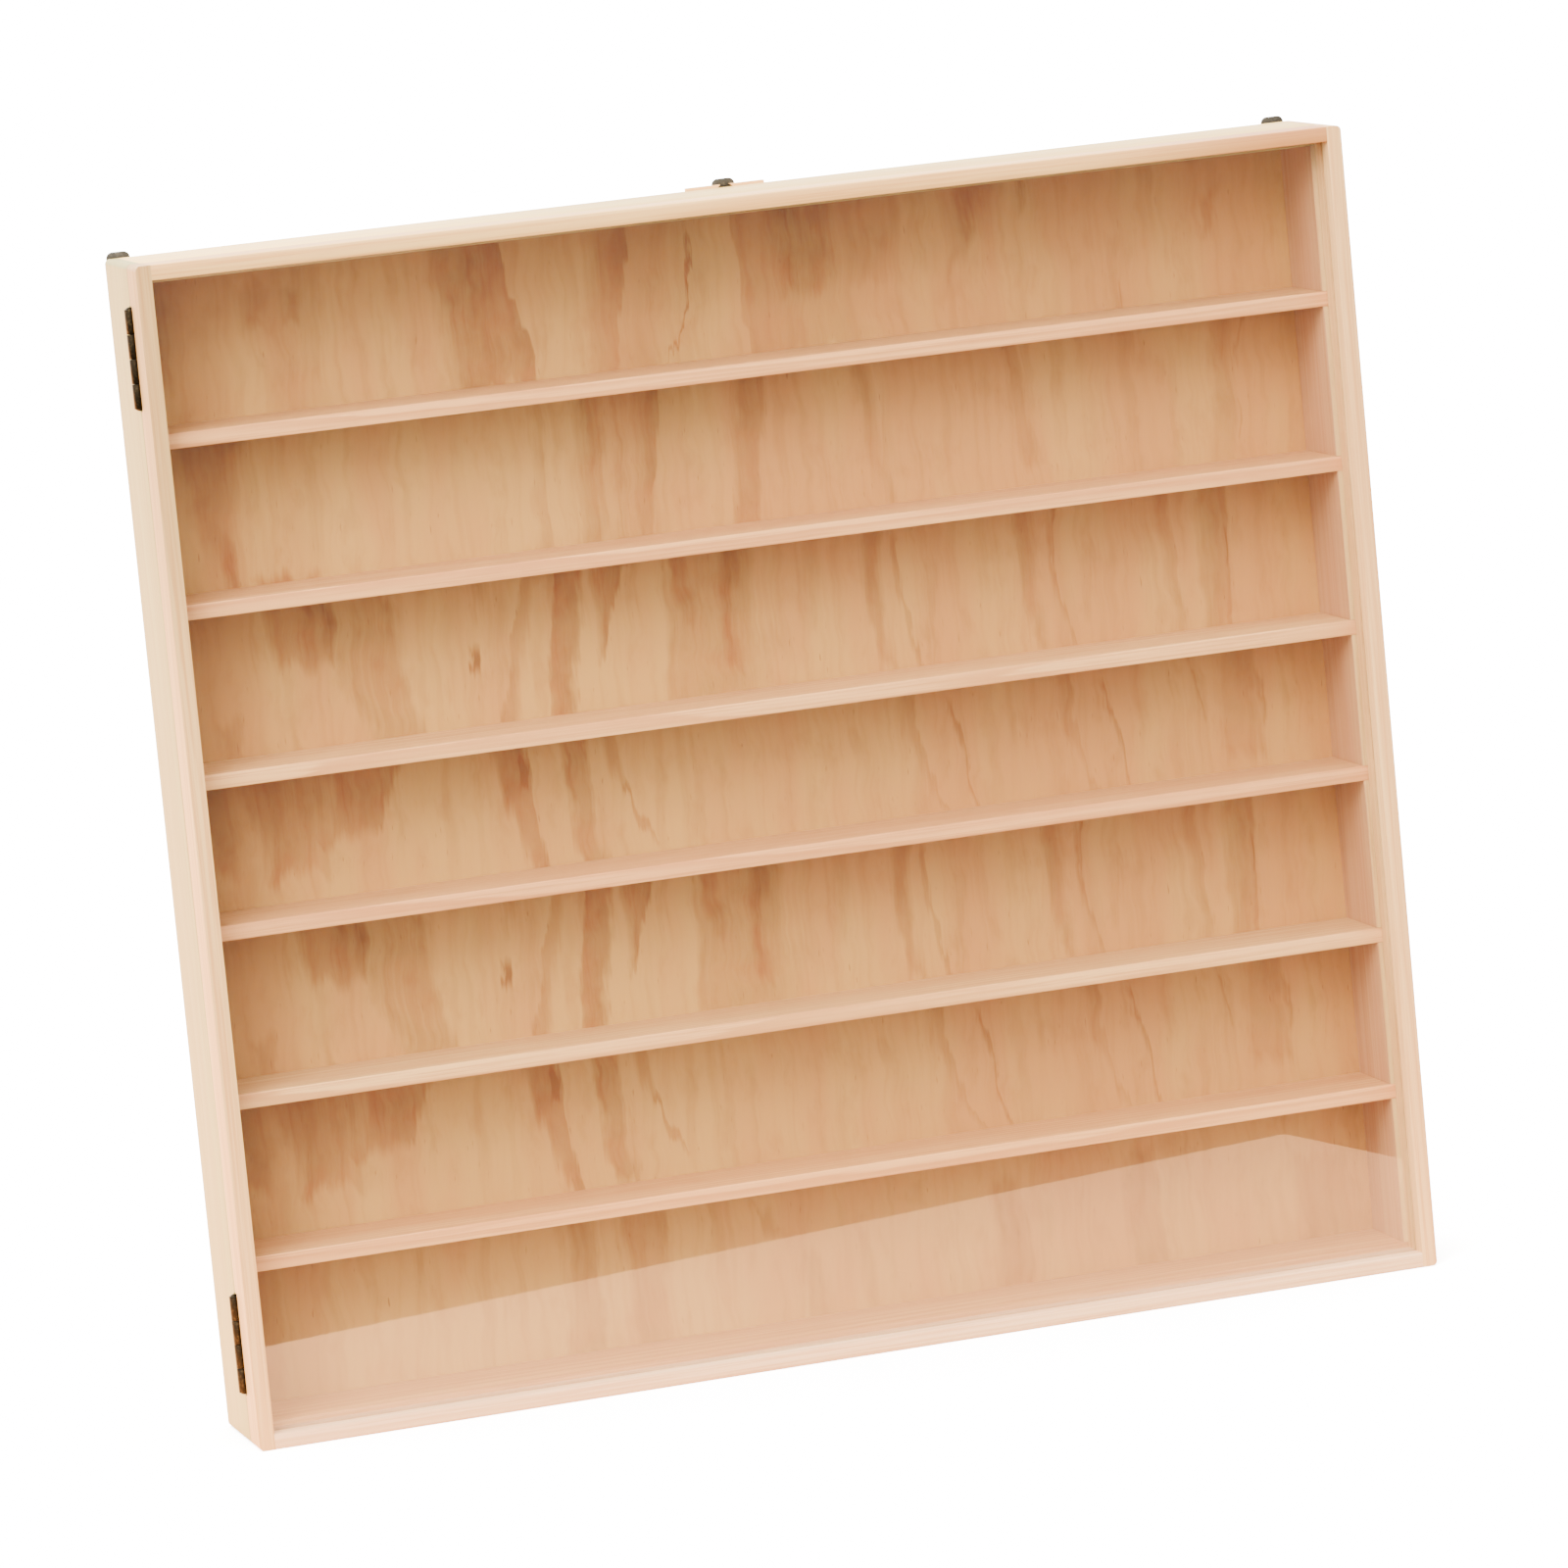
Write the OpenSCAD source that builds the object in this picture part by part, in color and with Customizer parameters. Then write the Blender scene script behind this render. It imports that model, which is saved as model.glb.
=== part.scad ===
// Wall display case for model cars: seven open tiers behind one clear hinged door.
// The origin is the centre of the underside. The front faces -Y, and +Z is up.

/* [Case] */
// Overall width, from the outside of one side to the outside of the other
case_w = 488; // [320:1:700]
// Overall height, from the underside of the case to its top
case_h = 460; // [410:1:700]
// Depth of the case from its front edge to its back face, without the door
case_d = 38; // [32:0.5:80]
// Thickness of the sides, the top board and the bottom board
wall_t = 8; // [7.5:0.25:12]
// Radius of the four outer corners, seen from the front
corner_r = 2; // [0.5:0.25:3]
// Thickness of the plywood back panel
back_t = 4; // [3:0.25:6]
// Wood left outside the rebate that holds the back panel
back_lip = 2; // [1.5:0.25:3]
// Depth of the grooves that hold the ends of the boards and shelves
groove_d = 3; // [2:0.25:4]

/* [Tiers] */
// Thickness of each shelf
shelf_t = 6; // [3:0.25:8]
// Share of the free height that the top tier takes
tier_1_share = 58; // [50:1:90]
// Share of the free height that the second tier from the top takes
tier_2_share = 60; // [40:1:90]
// Share of the free height that the third tier takes
tier_3_share = 60; // [40:1:90]
// Share of the free height that the fourth tier takes
tier_4_share = 53; // [40:1:90]
// Share of the free height that the fifth tier takes
tier_5_share = 60; // [40:1:90]
// Share of the free height that the sixth tier takes
tier_6_share = 58; // [40:1:90]
// Share of the free height that the bottom tier takes
tier_7_share = 59; // [50:1:90]

/* [Door] */
// Depth of the door frame, front to back
door_d = 15.5; // [15:0.5:24]
// Face width of the door's stiles and rails
frame_w = 6; // [5.75:0.25:12]
// Gap between the closed door and the case
door_gap = 0.5; // [0.4:0.05:1]
// Thickness of the clear pane
pane_t = 2; // [1.5:0.25:3]
// Distance from the front of the door to the pane
pane_setback = 6.5; // [4:0.25:7]
// Depth of the groove that holds the pane
pane_groove_d = 3; // [2:0.25:3.5]

/* [Hinges] */
// Length of each hinge barrel
hinge_l = 38; // [30:1:46]
// Distance from the top of the case down to the upper hinge
upper_hinge_inset = 17; // [10:1:24]
// Distance from the underside of the case up to the lower hinge
lower_hinge_inset = 21; // [10:1:24]
// Diameter of the hinge barrels
barrel_dia = 4; // [3.6:0.1:4.6]
// Diameter of the hinge pins
pin_dia = 1.8; // [1.4:0.1:2.2]
// Distance of the pin's axis outside the face of the left side
hinge_out = 0.6; // [0.4:0.05:0.8]
// Thickness of the hinge leaves
leaf_t = 0.8; // [0.6:0.05:1]
// Width of a leaf from the pin's axis to its free edge
leaf_w = 5.5; // [5.4:0.1:6]
// Diameter of the rounded heads on the hinge pins
pin_head_dia = 3.2; // [2.8:0.1:3.4]
// Height of the rounded heads on the hinge pins
pin_head_h = 0.8; // [0.5:0.1:1.2]
// Diameter of the hinge screws
hinge_screw_dia = 1.5; // [1.2:0.1:1.7]
// Diameter of the hinge screws' countersunk heads
hinge_screw_head_dia = 2.6; // [2.3:0.1:2.7]
// Length of the hinge screws
hinge_screw_l = 5; // [3:0.5:5]
// Distance from each end of a leaf to its nearer screw
hinge_screw_inset = 7; // [4:0.5:10]

/* [Catch] */
// Diameter of the catch magnets
magnet_dia = 4; // [3:0.25:5]
// Thickness of the catch magnets
magnet_t = 2.5; // [1.5:0.25:4]
// Distance from the outer face of the right side to the magnets' centres
magnet_in = 3; // [2.75:0.05:3.25]

/* [Hangers] */
// Width of the raised ear of a hanger
ear_w = 9.2; // [7:0.2:12]
// Height of the ears above the seat of their hanger
ear_rise = 2.2; // [1:0.2:6]
// Depth of the ears below the seat of their hanger
ear_drop = 8; // [7.4:0.1:8]
// Radius of the ears' corners
ear_corner_r = 2.4; // [1:0.1:3]
// Distance that the ears stand off the back, for the head of a wall nail
ear_stand_off = 2.4; // [1.5:0.1:4]
// Diameter of the eye in each ear
eye_dia = 4; // [2.5:0.1:4.4]
// Depth of the eye's centre below the seat of its hanger
eye_drop = 3.2; // [2.6:0.1:3.8]
// Thickness of the hangers' metal
hanger_t = 1.2; // [0.8:0.1:2]
// Height of the hangers' screwed feet
foot_h = 7; // [6:0.1:7.2]
// Length of the outer hangers' foot, which has two screws
long_foot_l = 14; // [12.5:0.5:18]
// Length of each foot of the middle hanger, which has one screw
short_foot_l = 7; // [6.5:0.25:9]
// Distance from a hanger's riser to its first screw
foot_screw_in = 3.5; // [2.75:0.25:4]
// Distance between the two screws of a long foot
foot_screw_gap = 7; // [5:0.25:8]
// Distance from the left edge of the case to the middle of the left ear
left_ear_in = 6; // [3.5:0.1:10]
// Distance from the right edge of the case to the middle of the right ear
right_ear_in = 7.7; // [3.5:0.1:14]
// Distance of the middle hanger and its block to the right of the middle of the case
middle_ear_shift = 6; // [0:0.5:10]
// Diameter of the hanger screws
hanger_screw_dia = 1.8; // [1.4:0.1:2.2]
// Length of the outer hangers' screws
hanger_screw_l = 11; // [8:0.5:14]
// Diameter of the hanger screws' countersunk heads
hanger_screw_head_dia = 3.4; // [2.8:0.1:4]
// Width of the packing block behind the middle hanger
block_w = 32; // [26:1:60]
// Height of the packing block
block_h = 12; // [9:0.5:20]
// Height of the packing block above the top of the case
block_rise = 1; // [0.5:0.1:1.2]
// Diameter of the hole through the packing block, for the head of a wall nail
block_hole_dia = 7.5; // [5:0.25:8]

/* [Brads] */
// Diameter of the brads that hold the back panel
brad_dia = 1.2; // [0.8:0.1:1.6]
// Diameter of the brads' heads
brad_head_dia = 2.4; // [2:0.1:3]
// Height of the brads' heads
brad_head_h = 0.4; // [0.3:0.1:1]
// Length of the brads below their heads
brad_l = 12; // [8:0.5:16]
// Number of brads along the top edge, and along the bottom edge
brads_per_edge = 4; // [2:2:6]

/* [Hidden] */
$fn = 48;

// Clearances
fit_gap = 0.1;       // between glued or slipped-in pieces of wood and the pane
hole_gap = 0.05;     // round a screw, brad or magnet, on the radius
pin_gap = 0.05;      // round a hinge pin, on the radius
head_gap = 0.1;      // between a pin's head and the end of the barrel
knuckle_gap = 0.3;   // between neighbouring knuckles, along the pin
leaf_gap = 0.2;      // between the two leaves of a closed hinge
turn_gap = 0.3;      // between a turning barrel and the wood round it
over = 1;            // how far a cut runs past the face that it opens

// Overall sizes
tier_shares = [
    tier_1_share, tier_2_share, tier_3_share, tier_4_share, tier_5_share, tier_6_share, tier_7_share
];
tiers = len(tier_shares);
function total(values, n = 0) = n >= len(values) ? 0 : values[n] + total(values, n + 1);
// Height left for the tiers between the top and bottom boards and the shelves
free_h = case_h - 2 * wall_t - (tiers - 1) * shelf_t;
tier_heights = [for (share = tier_shares) free_h * share / total(tier_shares)];
// Heights of the tiers below tier n and of the shelves that carry them
function stack_below(n) = n >= tiers ? 0 : tier_heights[n] + shelf_t + stack_below(n + 1);
function tier_floor(n) = wall_t + stack_below(n);
function tier_middle(n) = tier_floor(n) + tier_heights[n - 1] / 2;
total_d = door_d + door_gap + case_d;

// Planes from front to back
door_front = -total_d / 2;
door_back = door_front + door_d;
case_front = door_back + door_gap;
case_back = total_d / 2;
panel_front = case_back - back_t;
pane_front = door_front + pane_setback;
pane_back = pane_front + pane_t;

// Planes across
side_x = -case_w / 2;
inner_x = side_x + wall_t;
groove_x = inner_x - groove_d;
stile_x = side_x + frame_w;

// Hinges
barrel_r = barrel_dia / 2;
pin_r = pin_dia / 2;
hinge_x = side_x - hinge_out;
hinge_y = case_front - door_gap / 2;
upper_hinge_z = case_h - upper_hinge_inset - hinge_l;
lower_hinge_z = lower_hinge_inset;
knuckles = 4;
knuckle_l = hinge_l / knuckles;
case_knuckles = [1, 3];
door_knuckles = [0, 2];
leaf_inner_r = barrel_r + knuckle_gap;
hinge_screw_x = (leaf_inner_r + leaf_w) / 2;

// Brads and catch
brad_in = back_lip + (wall_t - back_lip) / 2;
side_brads = [for (n = [1:tiers]) [side_x + brad_in, tier_middle(n)]];
function edge_brads(z) = [
    for (k = [1:brads_per_edge]) [side_x + k * case_w / (brads_per_edge + 1), z]
];
magnet_x = -side_x - magnet_in;
magnet_heights = [tier_middle(2), tier_middle(tiers - 1)];

// Hangers
left_ear_x = side_x + left_ear_in;
right_ear_x = -side_x - right_ear_in;
foot_z = -ear_drop + foot_h / 2;
block_back = case_back + ear_stand_off;
// Places of the screws along a foot, measured from the middle of the ear
long_foot_screws = [ear_w / 2 + foot_screw_in, ear_w / 2 + foot_screw_in + foot_screw_gap];
short_foot_screws = [ear_w / 2 + foot_screw_in, -ear_w / 2 - foot_screw_in];
outer_screws = concat(
    [for (x = long_foot_screws) [left_ear_x + x, case_h + foot_z]],
    [for (x = long_foot_screws) [right_ear_x - x, case_h + foot_z]]
);
middle_screws = [
    for (x = short_foot_screws) [middle_ear_shift + x, case_h + block_rise + foot_z]
];

// Helpers

// Extrudes a drawing of the X-Z plane from y0 back to y1
module front_prism(y0, y1) {
    translate([0, y1, 0])
        rotate([90, 0, 0])
            linear_extrude(y1 - y0)
                children();
}

// Rectangle with round corners, from the origin to [w, h]
module round_rect(w, h, r) {
    translate([r, 0]) square([w - 2 * r, h]);
    translate([0, r]) square([w, h - 2 * r]);
    for (x = [r, w - r], y = [r, h - r])
        translate([x, y]) circle(r);
}

// Outline of the case and of the door, seen from the front
module face_outline() {
    translate([side_x, 0]) round_rect(case_w, case_h, corner_r);
}

// Upright strip of the outline along its left edge
module left_strip(w) {
    intersection() {
        face_outline();
        translate([side_x, 0]) square([w, case_h]);
    }
}

// Round bar that starts at y and runs towards the front
module bar_to_front(x, y, z, length, r) {
    translate([x, y, z])
        rotate([90, 0, 0])
            cylinder(h = length, r = r);
}

// Puts its child at each place of a list, on the plane y
module at_places(places, y) {
    for (p = places)
        translate([p[0], y, p[1]]) children();
}

// Countersunk screw with its head flush with y = 0 and its point towards +Y, for a plate
// of the given thickness. A grown copy, run out past its head, is the hole for it.
module countersunk(plate_t, shank_dia, head_dia, length, grow, run_out) {
    shank_r = shank_dia / 2 + grow;
    head_r = head_dia / 2 + grow;
    point_l = shank_dia / 2;
    rotate([-90, 0, 0]) {
        cylinder(h = plate_t - fit_gap, r1 = head_r, r2 = shank_r);
        cylinder(h = length - point_l, r = shank_r);
        translate([0, 0, length - point_l])
            cylinder(h = point_l, r1 = shank_r, r2 = grow + hole_gap);
        if (run_out > 0)
            translate([0, 0, -run_out]) cylinder(h = run_out, r = head_r);
    }
}

// Case

// Left side board: shelf grooves, end rebates, the back panel's rebate and brad holes
module side_board() {
    difference() {
        front_prism(case_front, case_back) left_strip(wall_t);
        for (n = [1:tiers - 1])
            translate([groove_x, case_front - over, tier_floor(n) - shelf_t])
                cube([groove_d + over, case_d + 2 * over, shelf_t + fit_gap]);
        for (z = [-over, case_h - wall_t])
            translate([groove_x, case_front - over, z])
                cube([groove_d + over, case_d + 2 * over, wall_t + over]);
        translate([side_x + back_lip, panel_front, back_lip])
            cube([wall_t, back_t + over, case_h - 2 * back_lip]);
        at_places(side_brads, case_back)
            rotate([90, 0, 0]) cylinder(h = brad_l, r = brad_dia / 2 + hole_gap);
    }
}

module left_side() {
    color([0.91, 0.84, 0.73])
        difference() {
            side_board();
            hinge_recesses() hinge_recess();
        }
}

module right_side() {
    color([0.91, 0.84, 0.73])
        difference() {
            mirror([1, 0, 0]) side_board();
            magnet_discs(case_front - over, case_front + magnet_t, hole_gap);
        }
}

// Board between the sides at the bottom; the top board is its mirror image
module end_board() {
    difference() {
        translate([groove_x + fit_gap, case_front, 0])
            cube([-2 * (groove_x + fit_gap), case_d, wall_t]);
        translate([groove_x, panel_front, back_lip])
            cube([-2 * groove_x, back_t + over, wall_t]);
        at_places(edge_brads(brad_in), case_back)
            rotate([90, 0, 0]) cylinder(h = brad_l, r = brad_dia / 2 + hole_gap);
    }
}

module bottom_board() {
    color([0.9, 0.81, 0.69]) end_board();
}

module top_board() {
    color([0.93, 0.88, 0.8])
        difference() {
            translate([0, 0, case_h]) mirror([0, 0, 1]) end_board();
            all_hanger_screws(hole_gap);
        }
}

module back_panel() {
    color([0.8, 0.58, 0.38])
        difference() {
            translate([side_x + back_lip + fit_gap, panel_front, back_lip + fit_gap])
                cube([
                    case_w - 2 * (back_lip + fit_gap),
                    back_t,
                    case_h - 2 * (back_lip + fit_gap)
                ]);
            at_places(all_brads(), case_back + over)
                rotate([90, 0, 0]) cylinder(h = back_t + 2 * over, r = brad_dia / 2 + hole_gap);
            all_hanger_screws(hole_gap);
        }
}

module shelf(n) {
    color([0.89, 0.77, 0.66])
        translate([groove_x + fit_gap, case_front, tier_floor(n) - shelf_t])
            cube([-2 * (groove_x + fit_gap), panel_front - case_front, shelf_t]);
}

function all_brads() = concat(
    side_brads,
    [for (p = side_brads) [-p[0], p[1]]],
    edge_brads(brad_in),
    edge_brads(case_h - brad_in)
);

module back_brads() {
    color([0.6, 0.6, 0.58])
        at_places(all_brads(), case_back) {
            rotate([90, 0, 0]) cylinder(h = brad_l, r = brad_dia / 2);
            rotate([-90, 0, 0]) cylinder(h = brad_head_h, r = brad_head_dia / 2);
        }
}

// Door

// Left stile with the pane's groove along its whole height
module stile() {
    difference() {
        front_prism(door_front, door_back) left_strip(frame_w);
        translate([stile_x - pane_groove_d, pane_front - fit_gap, -over])
            cube([pane_groove_d + over, pane_t + 2 * fit_gap, case_h + 2 * over]);
    }
}

module door_left_stile() {
    color([0.91, 0.83, 0.73])
        difference() {
            stile();
            hinge_recesses() mirror([0, 1, 0]) hinge_recess();
        }
}

module door_right_stile() {
    color([0.91, 0.83, 0.73])
        difference() {
            mirror([1, 0, 0]) stile();
            magnet_discs(door_back - magnet_t, door_back + over, hole_gap);
        }
}

// Bottom rail: the pane's groove along its top, and a stub tenon at each end
module rail() {
    tongue_x = stile_x - pane_groove_d + fit_gap;
    difference() {
        translate([stile_x, door_front, 0])
            cube([-2 * stile_x, door_d, frame_w]);
        translate([stile_x - over, pane_front - fit_gap, frame_w - pane_groove_d])
            cube([-2 * (stile_x - over), pane_t + 2 * fit_gap, pane_groove_d + over]);
    }
    front_prism(pane_front, pane_back)
        intersection() {
            face_outline();
            translate([tongue_x, 0]) square([-2 * tongue_x, frame_w - pane_groove_d]);
        }
}

module door_bottom_rail() {
    color([0.91, 0.83, 0.73]) rail();
}

module door_top_rail() {
    color([0.91, 0.83, 0.73])
        translate([0, 0, case_h]) mirror([0, 0, 1]) rail();
}

module clear_pane() {
    pane_x = stile_x - pane_groove_d + fit_gap;
    pane_z = frame_w - pane_groove_d + fit_gap;
    color([0.85, 0.92, 0.95, 0.3])
        translate([pane_x, pane_front, pane_z])
            cube([-2 * pane_x, pane_t, case_h - 2 * pane_z]);
}

// Hinges

// Hinge shapes are drawn with the pin on the Z axis, the lower end at z = 0,
// the leaves along +X and the case's leaf on the +Y side.

// Cylinder over the length of knuckle k, shortened or lengthened by half a gap at inner ends
module knuckle(k, r, gap) {
    low = k == 0 ? 0 : gap / 2;
    high = k == knuckles - 1 ? 0 : gap / 2;
    translate([0, 0, k * knuckle_l + low])
        cylinder(h = knuckle_l - low - high, r = r);
}

module leaf_screws(grow, run_out) {
    for (z = [hinge_screw_inset, hinge_l - hinge_screw_inset])
        translate([hinge_screw_x, leaf_gap / 2, z])
            countersunk(
                leaf_t, hinge_screw_dia, hinge_screw_head_dia, hinge_screw_l, grow, run_out
            );
}

// One leaf with its own knuckles, cleared round the other leaf's knuckles
module leaf(own, other) {
    difference() {
        union() {
            difference() {
                translate([0, leaf_gap / 2, 0]) cube([leaf_w, leaf_t, hinge_l]);
                for (k = other)
                    knuckle(k, leaf_inner_r, -knuckle_gap);
            }
            for (k = own)
                knuckle(k, barrel_r, knuckle_gap);
        }
        translate([0, 0, -over]) cylinder(h = hinge_l + 2 * over, r = pin_r + pin_gap);
        leaf_screws(hole_gap, leaf_gap / 4);
    }
}

// Pin with a low domed head at each end
module hinge_pin() {
    head_r = pin_head_dia / 2;
    dome_r = (head_r * head_r + pin_head_h * pin_head_h) / (2 * pin_head_h);
    cylinder_l = hinge_l + 2 * head_gap;
    translate([0, 0, -head_gap]) {
        cylinder(h = cylinder_l, r = pin_r);
        for (end = [0, 1])
            translate([0, 0, end * cylinder_l])
                mirror([0, 0, 1 - end])
                    rotate_extrude()
                        intersection() {
                            translate([0, pin_head_h - dome_r]) circle(dome_r);
                            square([head_r, pin_head_h]);
                        }
    }
}

// Room for the barrel, a leaf and its screws in the wood on the +Y side
module hinge_recess() {
    head_room = head_gap + pin_head_h + turn_gap;
    translate([0, 0, -head_room])
        cylinder(h = hinge_l + 2 * head_room, r = barrel_r + turn_gap);
    translate([0, -over, -fit_gap])
        cube([leaf_w + fit_gap, over + leaf_gap / 2 + leaf_t, hinge_l + 2 * fit_gap]);
    leaf_screws(hole_gap, 0);
}

module at_hinge(z) {
    translate([hinge_x, hinge_y, z]) children();
}

module hinge_recesses() {
    for (z = [lower_hinge_z, upper_hinge_z])
        at_hinge(z) children();
}

module case_leaf(z) {
    color([0.5, 0.38, 0.22]) at_hinge(z) leaf(case_knuckles, door_knuckles);
}

module door_leaf(z) {
    color([0.5, 0.38, 0.22]) at_hinge(z) mirror([0, 1, 0]) leaf(door_knuckles, case_knuckles);
}

module pin_at(z) {
    color([0.45, 0.34, 0.2]) at_hinge(z) hinge_pin();
}

module case_screws(z) {
    color([0.55, 0.43, 0.26]) at_hinge(z) leaf_screws(0, 0);
}

module door_screws(z) {
    color([0.55, 0.43, 0.26]) at_hinge(z) mirror([0, 1, 0]) leaf_screws(0, 0);
}

// Catch

// Discs, or the pockets for them, from y0 back to y1
module magnet_discs(y0, y1, grow) {
    for (z = magnet_heights)
        bar_to_front(magnet_x, y1, z, y1 - y0, magnet_dia / 2 + grow);
}

module case_magnets() {
    color([0.72, 0.73, 0.75]) magnet_discs(case_front, case_front + magnet_t, 0);
}

module door_magnets() {
    color([0.72, 0.73, 0.75]) magnet_discs(door_back - magnet_t, door_back, 0);
}

// Hangers

// Hanger shapes are drawn with the middle of the ear at x = 0, the height of their seat's
// top at z = 0 and the case's back on the plane y = 0.

// Outline of an ear, seen from the front: round at the top, square where the feet meet it
module ear_outline() {
    difference() {
        translate([-ear_w / 2, -ear_drop]) {
            round_rect(ear_w, ear_drop + ear_rise, ear_corner_r);
            square([ear_w, foot_h]);
        }
        translate([0, -eye_drop]) circle(eye_dia / 2);
    }
}

// Outline of a foot on the +X side, from just inside the ear to its round end
module foot_outline(length) {
    translate([ear_w / 2 - hanger_t, foot_z - foot_h / 2])
        square([length + hanger_t - foot_h / 2, foot_h]);
    translate([ear_w / 2 + length - foot_h / 2, foot_z])
        circle(foot_h / 2);
}

// Screws with their heads flush with the plane y, or the holes for them
module hanger_screws_at(places, y, length, grow, run_out) {
    at_places(places, y)
        mirror([0, 1, 0])
            countersunk(
                hanger_t, hanger_screw_dia, hanger_screw_head_dia, length, grow, run_out
            );
}

// Outer hanger: its foot lies on the back and its ear is cranked out from it
module long_hanger() {
    front_prism(ear_stand_off, ear_stand_off + hanger_t) ear_outline();
    translate([ear_w / 2 - hanger_t, 0, foot_z - foot_h / 2])
        cube([hanger_t, ear_stand_off + hanger_t, foot_h]);
    difference() {
        front_prism(0, hanger_t) foot_outline(long_foot_l);
        hanger_screws_at(
            [for (x = long_foot_screws) [x, foot_z]], hanger_t, hanger_screw_l, hole_gap, over
        );
    }
}

module left_hanger() {
    color([0.33, 0.3, 0.25])
        translate([left_ear_x, case_back, case_h]) long_hanger();
}

module right_hanger() {
    color([0.33, 0.3, 0.25])
        translate([right_ear_x, case_back, case_h]) mirror([1, 0, 0]) long_hanger();
}

// Flat plate on the packing block, in one plane with the outer hangers' ears
module middle_hanger() {
    color([0.33, 0.3, 0.25])
        translate([middle_ear_shift, case_back, case_h + block_rise])
            difference() {
                front_prism(ear_stand_off, ear_stand_off + hanger_t) {
                    ear_outline();
                    for (turn = [0, 1])
                        mirror([turn, 0]) foot_outline(short_foot_l);
                }
                hanger_screws_at(
                    [for (x = short_foot_screws) [x, foot_z]],
                    ear_stand_off + hanger_t, hanger_screw_l, hole_gap, over
                );
            }
}

module hanger_block() {
    color([0.9, 0.82, 0.7])
        difference() {
            translate([middle_ear_shift - block_w / 2, case_back, case_h + block_rise - block_h])
                cube([block_w, ear_stand_off, block_h]);
            bar_to_front(
                middle_ear_shift, block_back + over, case_h + block_rise - eye_drop,
                ear_stand_off + 2 * over, block_hole_dia / 2
            );
            all_hanger_screws(hole_gap);
        }
}

// Screws of all three hangers, or the holes for them
module all_hanger_screws(grow) {
    hanger_screws_at(outer_screws, case_back + hanger_t, hanger_screw_l, grow, 0);
    hanger_screws_at(
        middle_screws, block_back + hanger_t, hanger_screw_l + ear_stand_off, grow, 0
    );
}

module hanger_screws() {
    color([0.38, 0.34, 0.28]) all_hanger_screws(0);
}

left_side();
right_side();
top_board();
bottom_board();
back_panel();
shelf(1);  // shelf_1
shelf(2);  // shelf_2
shelf(3);  // shelf_3
shelf(4);  // shelf_4
shelf(5);  // shelf_5
shelf(6);  // shelf_6
door_left_stile();
door_right_stile();
door_top_rail();
door_bottom_rail();
clear_pane();
case_leaf(upper_hinge_z);  // upper_case_leaf
door_leaf(upper_hinge_z);  // upper_door_leaf
pin_at(upper_hinge_z);  // upper_hinge_pin
case_screws(upper_hinge_z);  // upper_case_screws
door_screws(upper_hinge_z);  // upper_door_screws
case_leaf(lower_hinge_z);  // lower_case_leaf
door_leaf(lower_hinge_z);  // lower_door_leaf
pin_at(lower_hinge_z);  // lower_hinge_pin
case_screws(lower_hinge_z);  // lower_case_screws
door_screws(lower_hinge_z);  // lower_door_screws
case_magnets();
door_magnets();
left_hanger();
middle_hanger();
right_hanger();
hanger_block();
hanger_screws();
back_brads();
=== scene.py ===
import math

import bmesh
import bpy
from mathutils import Matrix, Vector


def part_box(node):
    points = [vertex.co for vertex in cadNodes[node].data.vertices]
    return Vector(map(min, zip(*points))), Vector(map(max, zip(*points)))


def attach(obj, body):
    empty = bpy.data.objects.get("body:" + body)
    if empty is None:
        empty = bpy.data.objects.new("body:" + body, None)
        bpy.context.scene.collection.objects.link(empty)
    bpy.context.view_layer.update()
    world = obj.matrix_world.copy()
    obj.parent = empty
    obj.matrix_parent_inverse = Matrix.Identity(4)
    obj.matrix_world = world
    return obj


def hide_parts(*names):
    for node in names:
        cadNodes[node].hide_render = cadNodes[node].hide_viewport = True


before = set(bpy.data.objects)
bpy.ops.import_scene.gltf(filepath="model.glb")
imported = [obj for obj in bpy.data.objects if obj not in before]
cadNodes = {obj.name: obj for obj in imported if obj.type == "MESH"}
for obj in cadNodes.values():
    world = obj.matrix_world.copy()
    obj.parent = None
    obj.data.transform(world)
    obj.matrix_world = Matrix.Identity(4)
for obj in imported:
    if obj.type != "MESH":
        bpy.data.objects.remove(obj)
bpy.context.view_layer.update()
mm = 0.001
touching = 0.00001  # m, nearer than this counts as the same place


# Node trees

def feed(tree, socket, value):
    if isinstance(value, bpy.types.NodeSocket):
        tree.links.new(value, socket)
    else:
        socket.default_value = value


def addNode(tree, kind, inputs=None, **settings):
    made = tree.nodes.new(kind)
    for key, value in settings.items():
        setattr(made, key, value)
    for key, value in (inputs or {}).items():
        feed(tree, made.inputs[key], value)
    return made


def calc(tree, operation, first, second=0.0, third=0.0, clamp=False):
    inputs = {0: first, 1: second}
    if operation == "MULTIPLY_ADD":
        inputs[2] = third
    return addNode(tree, "ShaderNodeMath", inputs, operation=operation, use_clamp=clamp).outputs[0]


def blendColours(tree, share, first, second, mode="MIX"):
    made = addNode(tree, "ShaderNodeMix", data_type="RGBA", blend_type=mode)
    feed(tree, made.inputs[0], share)
    feed(tree, made.inputs[6], first)
    feed(tree, made.inputs[7], second)
    return made.outputs[2]


def remap(tree, value, low, high, newLow=0.0, newHigh=1.0, kind="SMOOTHSTEP"):
    return addNode(tree, "ShaderNodeMapRange", {
        "Value": value, "From Min": low, "From Max": high, "To Min": newLow, "To Max": newHigh,
    }, interpolation_type=kind).outputs[0]


def shareWithin(tree, value, band):
    # rises from nothing to the band's share between its two values
    return remap(tree, value, band["from"], band["to"], 0.0, band.get("share", 1.0))


def objectPlace(tree):
    return addNode(tree, "ShaderNodeTexCoord").outputs["Object"]


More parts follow.
